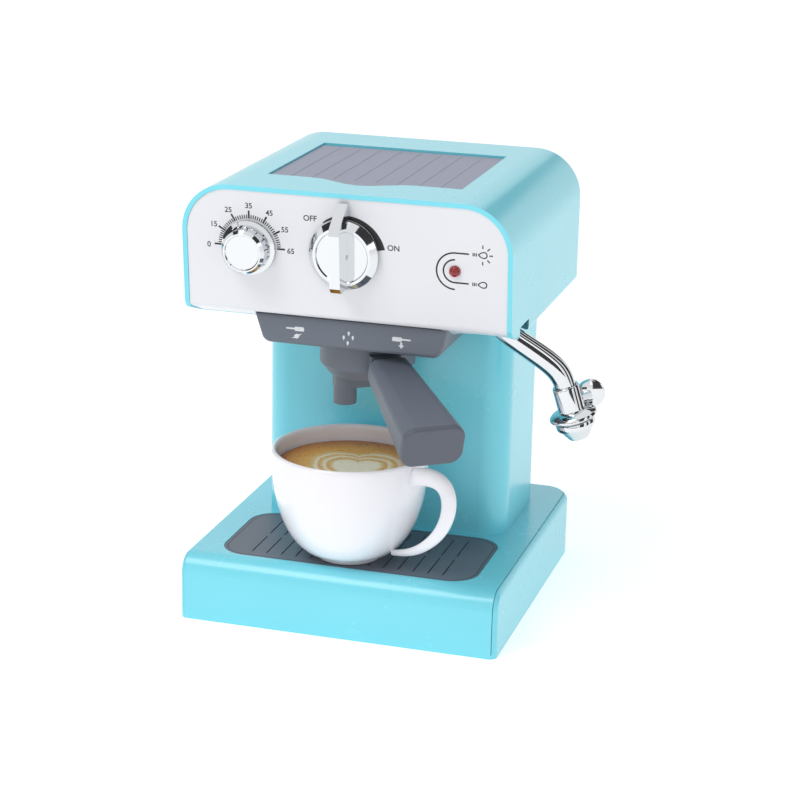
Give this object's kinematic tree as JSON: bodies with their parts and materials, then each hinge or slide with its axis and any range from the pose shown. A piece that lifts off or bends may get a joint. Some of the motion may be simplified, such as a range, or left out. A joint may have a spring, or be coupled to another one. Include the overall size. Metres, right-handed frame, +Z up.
{
  "type": "toy coffee maker",
  "caption": "Toy espresso machine with base, column, overhanging head, turning knobs, hinged tank lid, portafilter, swinging steam wand and cup.",
  "frame": {"origin": "middle of the base's underside", "axes": "+Z up, -Y is the front with the knobs, +X is the side with the steam wand"},
  "size_m": [0.2143, 0.2216, 0.239],
  "materials": {
    "turquoise": "gloss",
    "white": "gloss",
    "dark_grey": "satin",
    "slate_grey": "satin",
    "chrome": "polished",
    "lamp_red": "gloss",
    "cup_white": "gloss",
    "coffee": "printed",
    "steel": "plain",
    "rubber": "matte",
    "board": "satin",
    "cell": "satin",
    "black": "satin"
  },
  "bodies": {
    "housing": {"base_tub": "turquoise", "foot_pads": "rubber", "battery_door": "turquoise", "battery_door_screw": "steel", "battery_bay": "black", "battery_cells": "cell", "base_cover": "turquoise", "drip_pan": "dark_grey", "drip_grille": "dark_grey", "column_shell": "turquoise", "column_back_cover": "turquoise", "head_shell": "turquoise", "head_back_cover": "turquoise", "front_panel": "white", "water_tank": "slate_grey", "lid_hinge_blocks": "slate_grey", "timer_case": "black", "selector_case": "black", "lamp_lens": "lamp_red", "circuit_board": "board", "group_collar": "dark_grey", "bayonet_ring": "dark_grey", "wand_seat": "black"},
    "lid": {"tank_lid": "slate_grey"},
    "timer": {"timer_knob": "chrome", "timer_shaft": "steel"},
    "selector": {"selector_dial": "chrome", "selector_grip": "chrome", "selector_shaft": "steel"},
    "basket": {"filter_basket": "steel"},
    "portafilter": {"portafilter_bowl": "dark_grey", "portafilter_neck": "dark_grey", "portafilter_lugs": "dark_grey", "portafilter_spout": "dark_grey", "portafilter_handle": "dark_grey", "handle_end_cap": "dark_grey"},
    "wand": {"wand_tube": "chrome", "wand_top_nut": "steel", "wand_sleeve": "chrome", "wand_flange": "chrome", "wand_nozzle": "chrome", "wand_knob": "chrome"},
    "cup": {"cup": "cup_white", "coffee_disc": "coffee"}
  },
  "joints": [
    {"name": "lid_open", "type": "hinge", "parent": "housing", "child": "lid", "pos_m": [0, 0.0402, 0.2353], "axis": [-1, 0, 0], "range_deg": [0, 92]},
    {"name": "timer_turn", "type": "hinge", "parent": "housing", "child": "timer", "pos_m": [-0.0512, -0.08093, 0.2069], "axis": [0, 0.9968, 0.0797], "range_deg": [0, 178]},
    {"name": "selector_turn", "type": "hinge", "parent": "housing", "child": "selector", "pos_m": [0.0002, -0.08098, 0.2075], "axis": [0, 0.9968, 0.0797], "range_deg": [-45, 80]},
    {"name": "basket_drop", "type": "slide", "parent": "housing", "child": "basket", "axis": [0, 0, -1], "range_m": [0, 0.0175]},
    {"name": "portafilter_turn", "type": "hinge", "parent": "basket", "child": "portafilter", "pos_m": [0, -0.038, 0.15], "axis": [0, 0, 1], "range_deg": [-72, 0]},
    {"name": "wand_swing", "type": "hinge", "parent": "housing", "child": "wand", "pos_m": [0.071, -0.051, 0.184], "axis": [0, 0, 1], "range_deg": [-60, 30]},
    {"name": "cup_slide", "type": "slide", "parent": "housing", "child": "cup", "axis": [0, -1, 0], "range_m": [0, 0.12]}
  ]
}
